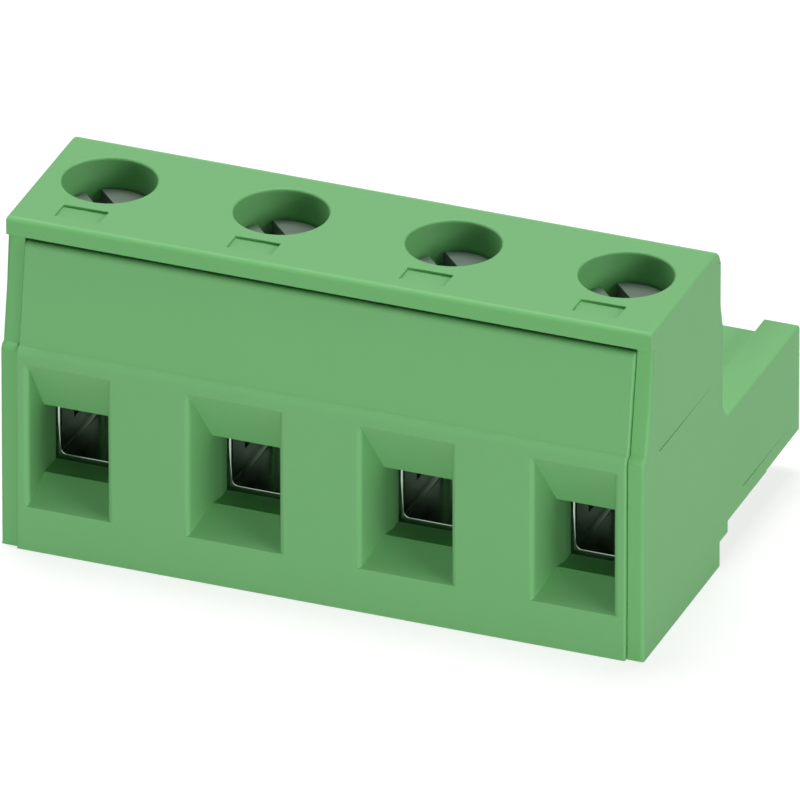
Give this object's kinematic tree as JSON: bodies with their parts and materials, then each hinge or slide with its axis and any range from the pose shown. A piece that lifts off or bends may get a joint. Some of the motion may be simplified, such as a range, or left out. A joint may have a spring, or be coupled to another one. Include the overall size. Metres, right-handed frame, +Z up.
{
  "type": "pluggable terminal block",
  "caption": "Pluggable screw terminal block with funnel-shaped wire entries in front, sunk clamp screws on top and pin sockets in a low mating section at the rear.",
  "frame": {"origin": "middle of the whole block, on the level surface that its underside stands on", "axes": "+X along the row of poles, to the right seen from the wire entries; +Y from the wire entries to the mating face; +Z up, along the clamp screws"},
  "size_m": [0.0286, 0.0184, 0.015],
  "materials": {
    "housing_plastic": "moulded polyamide, pale green, fine satin surface",
    "cover_plastic": "moulded polyamide, pale green, fine satin surface",
    "screw_steel": "turned steel, zinc plated, passivated, dull",
    "cage_steel": "stamped and bent steel, zinc plated, satin",
    "contact_alloy": "stamped copper alloy, tin plated, silver grey, satin",
    "spring_steel": "stainless spring sheet, plain"
  },
  "bodies": {
    "housing": {"housing": "housing_plastic", "front_cover": "cover_plastic", "contact_1": "contact_alloy", "contact_2": "contact_alloy", "contact_3": "contact_alloy", "contact_4": "contact_alloy", "contact_spring_1": "spring_steel", "contact_spring_2": "spring_steel", "contact_spring_3": "spring_steel", "contact_spring_4": "spring_steel"},
    "screw_1": {"clamp_screw_1": "screw_steel"},
    "cage_1": {"clamp_cage_1": "cage_steel"},
    "screw_2": {"clamp_screw_2": "screw_steel"},
    "cage_2": {"clamp_cage_2": "cage_steel"},
    "screw_3": {"clamp_screw_3": "screw_steel"},
    "cage_3": {"clamp_cage_3": "cage_steel"},
    "screw_4": {"clamp_screw_4": "screw_steel"},
    "cage_4": {"clamp_cage_4": "cage_steel"}
  },
  "joints": [
    {"name": "screw_1_turn", "type": "hinge", "parent": "housing", "child": "screw_1", "pos_m": [-0.01143, -0.00376, 0], "axis": [0, 0, 1], "range_deg": [-2052, 0]},
    {"name": "cage_1_lift", "type": "slide", "parent": "housing", "child": "cage_1", "axis": [0, 0, 1], "range_m": [0, 0.00285]},
    {"name": "screw_2_turn", "type": "hinge", "parent": "housing", "child": "screw_2", "pos_m": [-0.00381, -0.00376, 0], "axis": [0, 0, 1], "range_deg": [-2052, 0]},
    {"name": "cage_2_lift", "type": "slide", "parent": "housing", "child": "cage_2", "axis": [0, 0, 1], "range_m": [0, 0.00285]},
    {"name": "screw_3_turn", "type": "hinge", "parent": "housing", "child": "screw_3", "pos_m": [0.00381, -0.00376, 0], "axis": [0, 0, 1], "range_deg": [-2052, 0]},
    {"name": "cage_3_lift", "type": "slide", "parent": "housing", "child": "cage_3", "axis": [0, 0, 1], "range_m": [0, 0.00285]},
    {"name": "screw_4_turn", "type": "hinge", "parent": "housing", "child": "screw_4", "pos_m": [0.01143, -0.00376, 0], "axis": [0, 0, 1], "range_deg": [-2052, 0]},
    {"name": "cage_4_lift", "type": "slide", "parent": "housing", "child": "cage_4", "axis": [0, 0, 1], "range_m": [0, 0.00285]}
  ],
  "couplings": [
    {"joint": "screw_1_turn", "follows": "cage_1_lift", "rad_per_m": -12566},
    {"joint": "screw_2_turn", "follows": "cage_2_lift", "rad_per_m": -12566},
    {"joint": "screw_3_turn", "follows": "cage_3_lift", "rad_per_m": -12566},
    {"joint": "screw_4_turn", "follows": "cage_4_lift", "rad_per_m": -12566}
  ]
}
